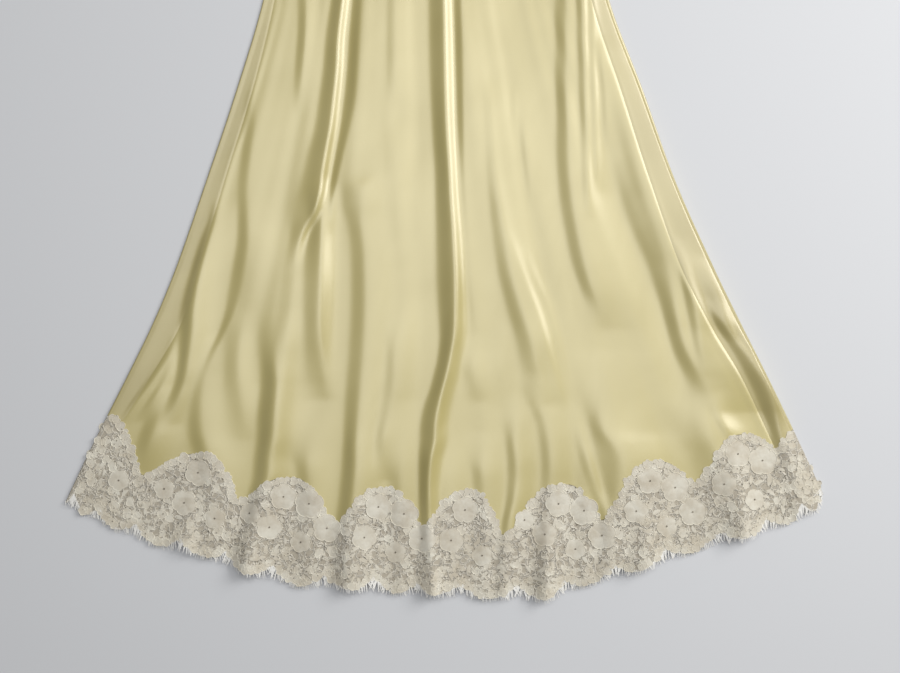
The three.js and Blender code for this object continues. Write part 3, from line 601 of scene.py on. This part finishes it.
def net_finish():
    """Worked lace: smooth patches of close cells, each edged by a raised cord with open gaps beside
    it, over a ground of small net. Its colour darkens where the relief is low: a painted shade in the
    grooves and gaps."""
    material, shader = finish("worked_lace", (0.55, 0.51, 0.43), 0.85)
    place = add_node(material, "ShaderNodeTexCoord")
    sway, cloud = noise(material, 70.0, 2.0, 0.5), noise(material, 60.0, 3.0, 0.6)
    bend = add_node(material, "ShaderNodeVectorMath", operation="SCALE", Scale=0.016)
    bent = add_node(material, "ShaderNodeVectorMath", operation="ADD")
    patch, cells = (add_node(material, "ShaderNodeTexVoronoi", feature="DISTANCE_TO_EDGE", Scale=scale)
                    for scale in (105.0, 560.0))
    wide = add_node(material, "ShaderNodeMapRange", **{
        "From Min": 0.46, "From Max": 0.60, "To Min": 0.0, "To Max": 0.055})
    solid, thread = calculation(material, "GREATER_THAN"), calculation(material, "LESS_THAN", 0.16)
    either, relief_and_shade = calculation(material, "MAXIMUM"), calculation(material, "ADD")
    fine = calculation(material, "MULTIPLY", 0.5)
    edge = add_node(material, "ShaderNodeValToRGB")
    for element, position, level in zip(edge.color_ramp.elements, (0.05, 0.17), (1.0, 0.25)):
        element.position, element.color = position, (level, level, level, 1)
    first = edge.color_ramp.elements.new(0.0)
    first.color = (0.1, 0.1, 0.1, 1)
    bump = add_node(material, "ShaderNodeBump", Strength=0.9, Distance=0.0009)
    join(material,
         (place, "Object", sway, "Vector"), (sway, "Color", bend, 0),
         (place, "Object", bent, 0), (bend, "Vector", bent, 1), (bent, "Vector", patch, "Vector"),
         (place, "Object", cells, "Vector"), (place, "Object", cloud, "Vector"),
         (cloud, "Fac", wide, "Value"), (patch, "Distance", solid, 0), (wide, "Result", solid, 1),
         (cells, "Distance", thread, 0), (solid, "Value", either, 0), (thread, "Value", either, 1),
         (either, "Value", shader, "Alpha"), (patch, "Distance", edge, "Fac"),
         (cells, "Distance", fine, 0), (edge, "Color", relief_and_shade, 0), (fine, "Value", relief_and_shade, 1),
         (relief_and_shade, "Value", bump, "Height"), (bump, "Normal", shader, "Normal"))
    # Colour from the relief, dark in the low grooves and gaps beside the cords: painted shade.
    two_tone(material, shader, relief_and_shade, "Value", (0.355, 0.315, 0.245), (0.70, 0.66, 0.57), 0.15, 1.0)
    return material


SATIN = satin_finish("butter_satin", (0.465, 0.396, 0.146), (0.505, 0.434, 0.174))
# The back in darker tones of the same satin: painted shade that darkens its strips beside the side
# seams.
SHADED_SATIN = satin_finish("butter_satin_painted_shade", (0.402, 0.338, 0.128), (0.438, 0.371, 0.146))
NET = net_finish()
PETAL_THREAD = thread_finish("petal_thread", (0.52, 0.47, 0.375), (0.67, 0.64, 0.55), grain=1900.0)
CORD_THREAD = thread_finish("cord_thread", (0.66, 0.61, 0.50), (0.86, 0.83, 0.73))
SATIN_THREAD = thread_finish("satin_thread", (0.47, 0.405, 0.18), (0.58, 0.51, 0.25))
# Near black thread of the beads in the holes: painted shade seen through them.
HOLE_SHADE = thread_finish("painted_hole_shade", (0.14, 0.115, 0.085), (0.24, 0.21, 0.16))
LASH_THREAD = thread_finish("lash_thread", (0.72, 0.71, 0.67), (0.84, 0.83, 0.80))

# ---------------------------------------------------------------- panels of satin and net


def woven_edge(x):
    """The woven edge of the lace, from which the lashes hang: above the hem line, and more so in the
    notches."""
    return hem_line(x) + FRINGE + NOTCH_FRINGE * notch(x)


def lace_top(x):
    """Upper edge of the lace bands."""
    return lace_line(x) - LACE_GAP


SATIN_GRID = {"rows": 160, "crowd": 1.3}
LACE_ROWS = 34

points, outward = front_grid(lace_line, neck_line("front"), columns=310, **SATIN_GRID)
front_satin = cloth_mesh("front_satin", *shell(points, outward, SATIN_THICK), SATIN, weave_map(points))
points, outward = back_grid(lace_line, neck_line("back"), strip=22, turn=7, under=30, **SATIN_GRID)
# The back and its strips wear the darker satin, a painted shade.
back_satin = cloth_mesh(
    "back_satin", *shell(points, outward, SATIN_THICK), SHADED_SATIN, weave_map(points))
points, outward = front_grid(woven_edge, lace_top, columns=380, rows=LACE_ROWS)
front_net = cloth_mesh("front_net", *shell(points, outward, NET_THICK), NET)
points, outward = back_grid(woven_edge, lace_top, strip=16, turn=7, under=90, rows=LACE_ROWS)
back_net = cloth_mesh("back_net", *shell(points, outward, NET_THICK), NET)

for piece, node, slot_name in (
    (front_satin, "front_panel", "satin"), (back_satin, "back_panel", "satin"),
    (front_net, "lace_front", "lace"), (back_net, "lace_back", "lace"),
):
    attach(piece, "root")
    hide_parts(node)

# ---------------------------------------------------------------- lace motifs

# Motifs are drawn flat, one unit across, as points (along, across, lift), then laid on the lace.
Motif = namedtuple("Motif", "points faces")


def cord(spine, half_width, half_lift, sides, closed=False, across=None):
    """An oval section swept along a flat spine: half width across it times the cosine, half lift
    times the sine. A closed spine makes a ring; an open one is capped at both ends."""
    spine = np.asarray(spine, float)
    if across is not None:
        way = across @ np.array([[0, -1], [1, 0]])
    elif closed:
        way = np.roll(spine, -1, axis=0) - np.roll(spine, 1, axis=0)
    else:
        way = np.gradient(spine, axis=0)
    way /= np.linalg.norm(way, axis=1, keepdims=True)
    across = np.stack([-way[:, 1], way[:, 0]], -1)
    angle = 2 * np.pi * np.arange(sides) / sides
    width = np.broadcast_to(half_width, len(spine))[:, None] * np.cos(angle)
    lift = np.broadcast_to(half_lift, len(spine))[:, None] * np.sin(angle)
    flat = spine[:, None] + across[:, None] * width[..., None]
    points = np.concatenate([flat, lift[..., None]], -1).reshape(-1, 3)
    faces = [grid_faces(len(spine), sides, wrap=True, wrap_rows=closed)]
    if not closed:
        last = (len(spine) - 1) * sides
        faces.append(np.stack([np.arange(sides)[::-1], last + np.arange(sides)]))
    return Motif(points, faces)


def together(*motifs):
    """Several motifs as one."""
    starts = np.cumsum([0] + [len(m.points) for m in motifs])
    faces = [f + start for m, start in zip(motifs, starts) for f in m.faces]
    return Motif(np.concatenate([m.points for m in motifs]), faces)


def petal_outline(count, petals, notch_depth):
    """Round outline with petals: the radius is a half, less the notch depth times one minus the size
    of a sine, to the power 0.6. Also its angles, and that power of the sine."""
    angle = 2 * np.pi * np.arange(count) / count
    round_off = np.abs(np.sin(petals / 2 * angle)) ** 0.6
    return angle, 0.5 - notch_depth * (1 - round_off), round_off


def ring_points(angle, radius):
    """Flat points at an angle and radius."""
    return np.stack([radius * np.cos(angle), radius * np.sin(angle)], -1)


def blossom(columns, sides, petals=5, notch_depth=0.075, pinhole=0.02):
    """Low domed petals round a pinhole. They are a hundredth thick each way along the lines between
    them, and up to six thousandths more where they are full."""
    angle, radius, round_off = petal_outline(columns, petals, notch_depth)
    body = (radius - pinhole) / 2
    lift = 0.010 + 0.006 * round_off
    outwards = ring_points(angle, np.ones(columns))
    return cord(ring_points(angle, pinhole + body), body, lift, sides, closed=True, across=-outwards)


def outline_cord(columns, half_width, petals=5, notch_depth=0.075):
    """Cord round the outline of a blossom."""
    angle, radius, _ = petal_outline(columns, petals, notch_depth)
    return cord(ring_points(angle, radius), half_width, 1.3 * half_width, 4, closed=True)


def shade_bead(columns):
    """Low round bead in the middle of a worked hole, that carries the painted shade seen through it."""
    angle = 2 * np.pi * np.arange(columns) / columns
    return cord(ring_points(angle, np.full(columns, 0.27)), 0.25, 0.20, 3, closed=True)


def leaf(bend, breadth=0.22):
    """Pointed leaf on an arched spine: its half width is the sine of the share along it, to powers
    that move the belly towards the stem and round it off. Its lift grows evenly to the tip."""
    share = np.linspace(0, 1, 7)
    spine = np.stack([share - 0.5, bend * np.sin(np.pi * share)], -1)
    half_width = 0.015 + breadth * np.sin(np.pi * share ** 0.85) ** 0.7
    return cord(spine, half_width, 0.010 + 0.012 * share, 5)


def curl(turns):
    """Cord wound inwards: the radius falls evenly with the angle."""
    share = np.linspace(0, 1, 10)
    return cord(ring_points(2 * np.pi * turns * share, 0.5 - 0.36 * share), 0.036, 0.040, 3)


def wave(size):
    """Cord with one swing to each side."""
    share = np.linspace(0, 1, 8)
    spine = np.stack([share - 0.5, size * np.sin(2 * np.pi * share)], -1)
    return cord(spine, 0.034, 0.038, 3)


def scatter(motif, places, turns, sizes, lifts):
    """Copies of a motif, each turned, sized and moved to its place: points and faces in one list."""
    places, count = np.asarray(places, float), len(places)
    cos, sin = (f(turns)[:, None] * np.asarray(sizes)[:, None] for f in (np.cos, np.sin))
    along, across, lift = motif.points.T
    x = places[:, :1] + along * cos - across * sin
    height = places[:, 1:2] + along * sin + across * cos
    lift = lift * np.asarray(sizes)[:, None] + np.asarray(lifts)[:, None]
    offsets = (np.arange(count) * len(motif.points))[:, None, None]
    faces = [(f[None] + offsets).reshape(-1, f.shape[1]) for f in motif.faces]
    return Motif(np.stack([x, height, lift], -1).reshape(-1, 3), faces)


def on_top(motif):
    """Laid on the upper layer: the lift is measured from its middle."""
    x, height, lift = motif.points.T
    return Motif(np.stack([x, height, lift + upper_middle(x, height)], -1), motif.faces)


UNDERSIDE_LIFT = 0.42    # lift of the motifs in the underside


def on_underside(motif):
    """Laid in the underside, a little above the floor, at half its own lift."""
    x, height, lift = motif.points.T
    return Motif(np.stack([x, height, 0.5 * lift + UNDERSIDE_LIFT], -1), motif.faces)


def spaced_along(line, first, last, step):
    """Places at even steps along a line across the dress, with the angle of the line there."""
    x = np.linspace(first, last, 4000)
    height = line(x)
    run = np.concatenate([[0], np.cumsum(np.hypot(np.diff(x), np.diff(height)))])
    stops = np.arange(step / 2, run[-1], step)
    at = np.interp(stops, run, x)
    return np.stack([at, line(at)], -1), np.arctan2(line(at + 0.5) - line(at - 0.5), 1.0)


# Places of the blossoms of one repeat, measured from the peak of the lace above them.
Blossom = namedtuple("Blossom", "x height across turn")
REPEAT = [Blossom(-8, -25, 34, 0.2), Blossom(25, -34, 38, 1.1), Blossom(48, -66, 36, 0.7),
          Blossom(-26, -64, 32, 0.4), Blossom(-52, -46, 26, 0.9), Blossom(14, -84, 27, 0.0)]
TOP_SHARE = 0.72         # part of a blossom's reach that stays below the lace line
CLOSEST = 0.47           # least distance between two blossoms, as a share of both widths


def laid_blossoms():
    """The repeat at every peak, kept where it lies wholly between the hem, the lace line and seams."""
    rows = []
    for peak in LACE_LINE[::2]:
        for b in REPEAT:
            x, height, reach = peak.x + b.x, peak.height + b.height, b.across / 2
            fits = woven_edge(x) + reach < height < lace_top(x) - TOP_SHARE * reach
            inside = left_seam(height) + reach < x < right_seam(height) - reach
            crowded = any(np.hypot(x - r.x, height - r.height) < CLOSEST * (b.across + r.across)
                          for r in rows)
            if fits and inside and not crowded:
                rows.append(Blossom(x, height, b.across, b.turn + x))
    return rows


BLOSSOMS = laid_blossoms()


FIRST_SLOT, LAST_SLOT = (-520, -20), (520, 260)       # x and height of the corners of the slots' grid
HEM_CLEAR, TOP_CLEAR, SIDE_CLEAR = 4, 2, 3            # least distance of a slot from each edge


def fill_lace(rng, left, right, pitch, blossoms=()):
    """Slots of a staggered grid, each moved by up to a third of the pitch, kept where they lie in the
    lace, between two edges and clear of the blossoms."""
    up = np.arange(FIRST_SLOT[1], LAST_SLOT[1], pitch)
    x, height = np.meshgrid(np.arange(FIRST_SLOT[0], LAST_SLOT[0], pitch), up)
    x = x + pitch / 2 * (np.arange(len(up)) % 2)[:, None]
    spots = np.stack([x, height], -1).reshape(-1, 2)
    spots = spots + rng.uniform(-pitch / 3, pitch / 3, spots.shape)
    x, height = spots.T
    kept = (height > woven_edge(x) + HEM_CLEAR) & (height < lace_top(x) - TOP_CLEAR)
    kept &= (x > left(height) + SIDE_CLEAR) & (x < right(height) - SIDE_CLEAR)
    for b in blossoms:
        kept &= np.hypot(x - b.x, height - b.height) > 0.5 * b.across
    return spots[kept]


# Shapes of the close-worked pads between the blossoms. A pad takes the shape whose low and high its
# random pick lies between.
Pad = namedtuple("Pad", "petals notch_depth low high")
PADS = [Pad(3, 0.17, 0.0, 0.3), Pad(4, 0.16, 0.3, 0.55), Pad(2, 0.20, 0.55, 0.8), Pad(5, 0.14, 0.8, 1.0)]


def worked_pads(rng, places, sizes, lifts):
    """Close-worked pads of a few shapes at the places, and the cord round each, as two motifs."""
    count = len(places)
    pick, turns = rng.uniform(0, 1, count), rng.uniform(0, 2 * np.pi, count)
    across, lift = rng.uniform(*sizes, count), rng.uniform(*lifts, count)
    bodies, cords = [], []
    for pad in PADS:
        kept = (pick >= pad.low) & (pick < pad.high)
        laid = places[kept], turns[kept], across[kept]
        bodies.append(scatter(blossom(16, 4, pad.petals, pad.notch_depth, 0.01), *laid, lift[kept]))
        cord_round = outline_cord(16, 0.032, pad.petals, pad.notch_depth)
        cords.append(scatter(cord_round, *laid, lift[kept] + 0.08))
    return together(*bodies), together(*cords)


def edge_pads(rng, line, first, last, step, sizes, shift):
    """Pads in an uneven row beside a line, so that their rounded ends make its edge."""
    places, _ = spaced_along(line, first, last, step)
    moved = rng.uniform(-1, 1, places.shape) * (0.4 * step, 1.6) + (0, shift)
    return worked_pads(rng, places + moved, sizes, lifts=(0.35, 0.6))


def leaves(rng, slots, size):
    """Leaves turned every way, one in each slot."""
    turns, sizes = rng.uniform(0, 2 * np.pi, len(slots)), size * rng.uniform(0.75, 1.2, len(slots))
    return scatter(leaf(0.10), slots, turns, sizes, rng.uniform(0.30, 0.60, len(slots)))


def trails(rng, slots, size):
    """Curls and waves of cord, one in each slot, as one motif."""
    pick = rng.uniform(0, 1, len(slots))
    turns = rng.uniform(0, 2 * np.pi, len(slots))
    sizes = size * rng.uniform(0.7, 1.25, len(slots))
    lifts = rng.uniform(0.45, 0.80, len(slots))
    parts = []
    for motif, low, high in ((curl(1.2), 0.0, 0.3), (curl(0.7), 0.3, 0.55), (wave(0.16), 0.55, 1.0)):
        kept = (pick >= low) & (pick < high)
        parts.append(scatter(motif, slots[kept], turns[kept], sizes[kept], lifts[kept]))
    return together(*parts)


HOLE_SIZES = 0.9, 2.1    # least and most across of the small worked holes, whose shade is painted on dark beads


def shade_beads(rng, slots, lift):
    """Dark beads, the painted shade of small worked holes, one in each slot."""
    sizes = rng.uniform(*HOLE_SIZES, len(slots))
    return scatter(shade_bead(6), slots, np.zeros(len(slots)), sizes, np.full(len(slots), lift))


def line_cord(line, first, last, half_width, lift, step=1.5):
    """A cord along a line across the dress."""
    x = np.linspace(first, last, int((last - first) / step))
    motif = cord(np.stack([x, line(x)], -1), half_width, half_width, 4)
    return Motif(motif.points + (0, 0, lift), motif.faces)


LASH_LENGTH, MORE_LASH = 7.0, 8.0     # of a lash, and how much longer in the notches
LASH_ROOT = 2.0                       # how far above the woven edge a lash starts
TUFT_WIDTH = 2.3                      # of a tuft, over a turn of the sine


def lashes(rng, first, last, step=1.9):
    """Lashes from the woven edge down, in tufts; longest in the notches between the scallops. They
    lean with the sine along the edge and a random turn, and stand a little off the edge's slope."""
    places, slope = spaced_along(woven_edge, first, last, step)
    tuft = 0.30 * np.sin(places[:, 0] / TUFT_WIDTH) + rng.uniform(-0.2, 0.2, len(places))
    share = np.linspace(0, 1, 4)
    spine = np.stack([share, 0.07 * share ** 2], -1)
    lash = cord(spine, 0.075 - 0.05 * share, 0.04 - 0.03 * share, 4)
    length = (LASH_LENGTH + MORE_LASH * notch(places[:, 0])) * rng.uniform(0.75, 1.15, len(places))
    places = places + (0, LASH_ROOT)
    return scatter(lash, places, 0.3 * slope - np.pi / 2 + tuft, length, np.full(len(places), 0.1))


PINHOLE_SHADE_ACROSS = 2.8      # of the dark bead painting the shade of the pinhole in the middle of a blossom


def lay_blossoms(blossoms, columns, sides, lift):
    """Bodies, cords and dark middle beads, painted shade of the pinholes, of a list of blossoms."""
    places = np.array([(b.x, b.height) for b in blossoms])
    turns, sizes = np.array([b.turn for b in blossoms]), np.array([b.across for b in blossoms])
    lifts = np.full(len(blossoms), lift)
    return (scatter(blossom(columns, sides), places, turns, sizes, lifts),
            scatter(outline_cord(columns, 0.012), places, turns, sizes, lifts + 0.1),
            scatter(shade_bead(8), places, turns, np.full(len(places), PINHOLE_SHADE_ACROSS), lifts + 0.3))


def motif_mesh(name, motif, material):
    """One mesh of many laid motifs."""
    return cloth_mesh(name, motif.points, motif.faces, material)


rng = np.random.default_rng(21)
LEFT_HEM, RIGHT_HEM = -470, 455       # ends of the front's woven edge
PAD_SIZES = 9, 15                     # least and most across of most pads


def front_slots(pitch):
    """Slots of the front, clear of its blossoms."""
    return fill_lace(rng, left_seam, right_seam, pitch, BLOSSOMS)


bodies, outlines, pinhole_shade = lay_blossoms(BLOSSOMS, columns=50, sides=8, lift=0.6)
pads, pad_cords = worked_pads(rng, front_slots(21.0), PAD_SIZES, lifts=(0.15, 0.35))
top_pads, top_cords = edge_pads(
    rng, lace_top, LEFT_HEM + 40, RIGHT_HEM, step=6.5, sizes=(7, 14), shift=-3.2)
foot_pads, foot_cords = edge_pads(
    rng, woven_edge, LEFT_HEM, RIGHT_HEM, step=8.0, sizes=(8, 13), shift=4.5)
front_leaves = leaves(rng, front_slots(12.5), size=11.0)
front_trails = trails(rng, front_slots(9.5), size=9.0)
front_shade_beads = shade_beads(rng, front_slots(10.0), lift=0.75)
front_petals = motif_mesh(
    "front_petals", on_top(together(bodies, pads, top_pads, foot_pads, front_leaves)), PETAL_THREAD)
front_cords = motif_mesh("front_cords", on_top(together(
    outlines, pad_cords, top_cords, foot_cords, front_trails,
    line_cord(woven_edge, LEFT_HEM, RIGHT_HEM, half_width=0.35, lift=0.1))), CORD_THREAD)
# Dark beads in the pinholes and small holes of the front: painted shade.
front_hole_shade = motif_mesh("front_hole_shade", on_top(together(pinhole_shade, front_shade_beads)), HOLE_SHADE)
front_lashes = motif_mesh("front_lashes", on_top(lashes(rng, LEFT_HEM, RIGHT_HEM)), LASH_THREAD)

strip_slots = np.concatenate([fill_lace(rng, *edges, 11.5)
                              for edges in ((left_edge, left_seam), (right_seam, right_edge))])
strip_pads, strip_cords = worked_pads(rng, strip_slots, PAD_SIZES, lifts=(0.25, 0.5))
under_bodies, under_outlines, under_pinhole_shade = lay_blossoms(BLOSSOMS, columns=30, sides=6, lift=0.0)
under_slots = fill_lace(rng, left_edge, right_edge, 15.0, BLOSSOMS)
under_pads, under_cords = worked_pads(rng, under_slots, sizes=(11, 18), lifts=(0.0, 0.2))
back_petals = motif_mesh("back_petals", together(
    on_top(strip_pads), on_underside(together(under_bodies, under_pads))), PETAL_THREAD)
back_cords = motif_mesh("back_cords", together(
    on_top(together(strip_cords, trails(rng, strip_slots, size=8.0))),
    on_underside(together(under_outlines, under_cords))), CORD_THREAD)
# Dark beads in the holes of the strips and the underside: painted shade.
back_hole_shade = motif_mesh("back_hole_shade", together(
    on_top(shade_beads(rng, strip_slots + 4.0, lift=0.75)),
    on_underside(together(under_pinhole_shade, shade_beads(rng, under_slots + 5.0, lift=0.3)))), HOLE_SHADE)
back_lashes = motif_mesh("back_lashes", together(
    on_top(lashes(rng, LEFT_HEM - 22, LEFT_HEM)), on_top(lashes(rng, RIGHT_HEM, RIGHT_HEM + 36)),
    on_underside(lashes(rng, LEFT_HEM - 18, RIGHT_HEM + 34, step=2.6))), LASH_THREAD)

for piece in (front_petals, front_cords, front_lashes, front_hole_shade,
              back_petals, back_cords, back_lashes, back_hole_shade):
    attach(piece, "root")

# ---------------------------------------------------------------- straps and stitches

STRAP_WIDTH, STRAP_THICK, STRAP_WALL = 8.0, 1.1, 0.3
STRAP_SIDES = 20
STRAP_TUCK = 14.0        # length of each end inside the bodice
FRONT_OUT, TOP_OUT, BACK_OUT = 90.0, 76.0, 62.0     # places of the strap from the middle of the bodice
TUCKED_LIFT = 1.10       # lift of its ends between the two panels
TURN_RADIUS = 0.75       # its fold over the shoulder
STRAP_SWAY = 2.0
FLOOR_LIFT = STRAP_THICK / 2 + 0.05                 # lift of its run on the floor
UPPER_LIFT = FLOOR_LIFT + 2 * TURN_RADIUS           # lift of its run on top
FRONT_RISE, BACK_SINK, SINK_START = 30.0, 12.0, 2.0    # how fast each run leaves the panels


def strap_route(side):
    """The middle line of a strap, from its front end up, over and down to its back end: two runs with
    one slow sway each and a half circle between them. Also its directions across and outward."""
    top = LENGTH - STRAP_THICK / 2 - TURN_RADIUS
    share, angle = np.linspace(0, 1, 60), np.linspace(0, np.pi, 12)[1:-1]
    foot = neck_line("front")(CENTRE_X + FRONT_OUT)
    up = foot - STRAP_TUCK + (top - foot + STRAP_TUCK) * share
    up_lift = TUCKED_LIFT + (UPPER_LIFT - TUCKED_LIFT) * ease((up - foot) / FRONT_RISE)
    up_out = FRONT_OUT + (TOP_OUT - FRONT_OUT) * share + STRAP_SWAY * np.sin(2 * np.pi * share)
    foot = neck_line("back")(CENTRE_X + BACK_OUT)
    down = top + (foot - STRAP_TUCK - top) * share
    sunk = ease((down - foot - SINK_START) / BACK_SINK)
    down_lift = TUCKED_LIFT + (FLOOR_LIFT - TUCKED_LIFT) * sunk
    down_out = TOP_OUT + (BACK_OUT - TOP_OUT) * share - STRAP_SWAY * np.sin(2 * np.pi * share)
    out = np.concatenate([up_out, np.full(len(angle), TOP_OUT), down_out])
    height = np.concatenate([up, top + TURN_RADIUS * np.sin(angle), down])
    lift = np.concatenate([up_lift, UPPER_LIFT - TURN_RADIUS * (1 - np.cos(angle)), down_lift])
    spine = np.stack([CENTRE_X + side * out, height, lift], -1)
    along = np.gradient(spine, axis=0)
    along /= np.linalg.norm(along, axis=1, keepdims=True)
    outward = np.cross(np.broadcast_to((1.0, 0.0, 0.0), along.shape), along)
    outward /= np.linalg.norm(outward, axis=1, keepdims=True)
    return spine, np.cross(along, outward), outward


def strap(name, node, side):
    """A flattened tube of satin along its route, an oval with blunt sides, joined at both ends to an
    inner face one wall inside it."""
    spine, across, outward = strap_route(side)
    angle = -2 * np.pi * np.arange(STRAP_SIDES) / STRAP_SIDES
    wide = np.sign(np.cos(angle)) * np.abs(np.cos(angle)) ** 0.7
    high = np.sign(np.sin(angle)) * np.abs(np.sin(angle)) ** 0.9
    rings = [spine[:, None] + across[:, None] * (STRAP_WIDTH / 2 - wall) * wide[:, None]
             + outward[:, None] * (STRAP_THICK / 2 - wall) * high[:, None] for wall in (0.0, STRAP_WALL)]
    rows, count = len(spine), len(spine) * STRAP_SIDES
    side_by_side, after = np.arange(STRAP_SIDES), (np.arange(STRAP_SIDES) + 1) % STRAP_SIDES
    rim = np.stack([after, side_by_side, side_by_side + count, after + count], -1)
    faces = [grid_faces(rows, STRAP_SIDES, wrap=True),
             grid_faces(rows, STRAP_SIDES, count, flip=True, wrap=True),
             rim, rim[:, ::-1] + count - STRAP_SIDES]
    run = np.concatenate([[0], np.cumsum(np.linalg.norm(np.diff(spine, axis=0), axis=1))])
    girth = side_by_side / STRAP_SIDES * 2 * STRAP_WIDTH
    uv = np.stack(np.broadcast_arrays(girth, run[:, None]), -1).reshape(-1, 2) * MM
    piece = cloth_mesh(name, np.concatenate(rings), faces, SATIN, np.concatenate([uv, uv]))
    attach(piece, "root")
    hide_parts(node)
    return piece


NECK_HEM, STITCH_PITCH = 5.0, 2.6
NECK_LEFT, NECK_RIGHT = -213.0, 189.0     # ends of the stitch rows of front and back
TACK_STITCHES, TACK_LENGTH = 9, 2.6       # stitches side by side in a bar tack, and the length of each
THREAD_LIFT = 0.3                         # of the bar tacks over the middle of the cloth


def stitch():
    """One short stitch of thread, a unit long."""
    share = np.linspace(0, 1, 5)
    spine = np.stack([share - 0.5, np.zeros(5)], -1)
    return cord(spine, 0.04 + 0.09 * np.sin(np.pi * share), 0.08, 6)


def edge_stitches(line, first, last):
    """A row of stitches one hem's width below an edge."""
    places, slope = spaced_along(lambda x: line(x) - NECK_HEM, first, last, STITCH_PITCH)
    count = len(places)
    return scatter(stitch(), places, slope, np.full(count, 0.75 * STITCH_PITCH), np.full(count, 0.28))


def bar_tack(side):
    """A short block of stitches side by side, where a strap is sewn behind the edge."""
    count = TACK_STITCHES
    x = CENTRE_X + side * FRONT_OUT + np.linspace(-0.45, 0.45, count) * STRAP_WIDTH
    places = np.stack([x, neck_line("front")(x) - 0.55 * NECK_HEM], -1)
    return scatter(stitch(), places, np.full(count, np.pi / 2), np.full(count, TACK_LENGTH),
                   np.full(count, THREAD_LIFT))


left_strap = strap("left_strap", "strap_left", side=-1)
right_strap = strap("right_strap", "strap_right", side=1)
front_stitches, back_stitches = (edge_stitches(neck_line(panel), NECK_LEFT, NECK_RIGHT)
                                 for panel in ("front", "back"))
neck_stitches = motif_mesh("neck_stitches", together(
    on_top(together(front_stitches, bar_tack(-1), bar_tack(1))),
    on_underside(back_stitches)), SATIN_THREAD)
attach(neck_stitches, "root")

# ---------------------------------------------------------------- form of a cut piece's row

# Fields of a row for a cut piece: the flat width and length that hold it and its own flat area, in
# metres, then lies_on and carries. No rows are given.
Cut = namedtuple("Cut", "piece width length area lies_on carries")

# ---------------------------------------------------------------- floor, light and camera

# In metres, as the rest of this section.
VIEW_CENTRE = Vector((0.0075, -0.3575, 0.0))
VIEW_WIDTH = 1.170
LENS, SENSOR = 50.0, 36.0     # of the camera, in millimetres
FLOOR_REACH = 4.0
FLOOR_DROP = 0.0002           # gap under the dress, so that it touches nothing
FLOOR_COLOUR = 0.622, 0.634, 0.658


def add_floor():
    """A plain pale surface, a little under the dress."""
    mesh = bpy.data.meshes.new("floor")
    corners = [(-1, -1, 0), (1, -1, 0), (1, 1, 0), (-1, 1, 0)]
    mesh.from_pydata([Vector(corner) * FLOOR_REACH for corner in corners], [], [(0, 1, 2, 3)])
    material, _ = finish("pale_floor", FLOOR_COLOUR, 0.9)
    mesh.materials.append(material)
    floor = bpy.data.objects.new("floor", mesh)
    floor.location.z = -FLOOR_DROP
    bpy.context.scene.collection.objects.link(floor)


def add_light(name, place, target, size, power, colour=(1, 1, 1)):
    """A soft square lamp at a place, turned to a target."""
    lamp = bpy.data.lights.new(name, "AREA")
    lamp.shape, lamp.size, lamp.energy, lamp.color = "SQUARE", size, power, colour
    light = bpy.data.objects.new(name, lamp)
    light.location = place
    light.rotation_euler = (Vector(target) - Vector(place)).to_track_quat("-Z", "Y").to_euler()
    bpy.context.scene.collection.objects.link(light)


def add_camera():
    """Straight above the skirt, with the hem at the foot of the view."""
    data = bpy.data.cameras.new("camera")
    data.lens, data.sensor_width = LENS, SENSOR
    camera = bpy.data.objects.new("camera", data)
    camera.location = VIEW_CENTRE + Vector((0, 0, VIEW_WIDTH * LENS / SENSOR))
    bpy.context.scene.collection.objects.link(camera)
    bpy.context.scene.camera = camera


def add_world(colour, strength):
    """Even weak light from all round."""
    world = bpy.data.worlds.new("studio")
    world.use_nodes = True
    shade = world.node_tree.nodes["Background"]
    shade.inputs["Color"].default_value = (*colour, 1)
    shade.inputs["Strength"].default_value = strength
    bpy.context.scene.world = world


add_floor()
add_camera()
add_world(colour=(0.98, 0.98, 0.97), strength=0.165)
add_light("overhead", place=(0.12, 0.05, 2.5), target=(0.0, -0.40, 0.0), size=2.0, power=33)
add_light("window", place=(2.15, 0.75, 1.75), target=(0.05, -0.35, 0.0), size=1.6, power=67,
          colour=(1.0, 0.985, 0.96))
bpy.context.scene.view_settings.view_transform = "Standard"
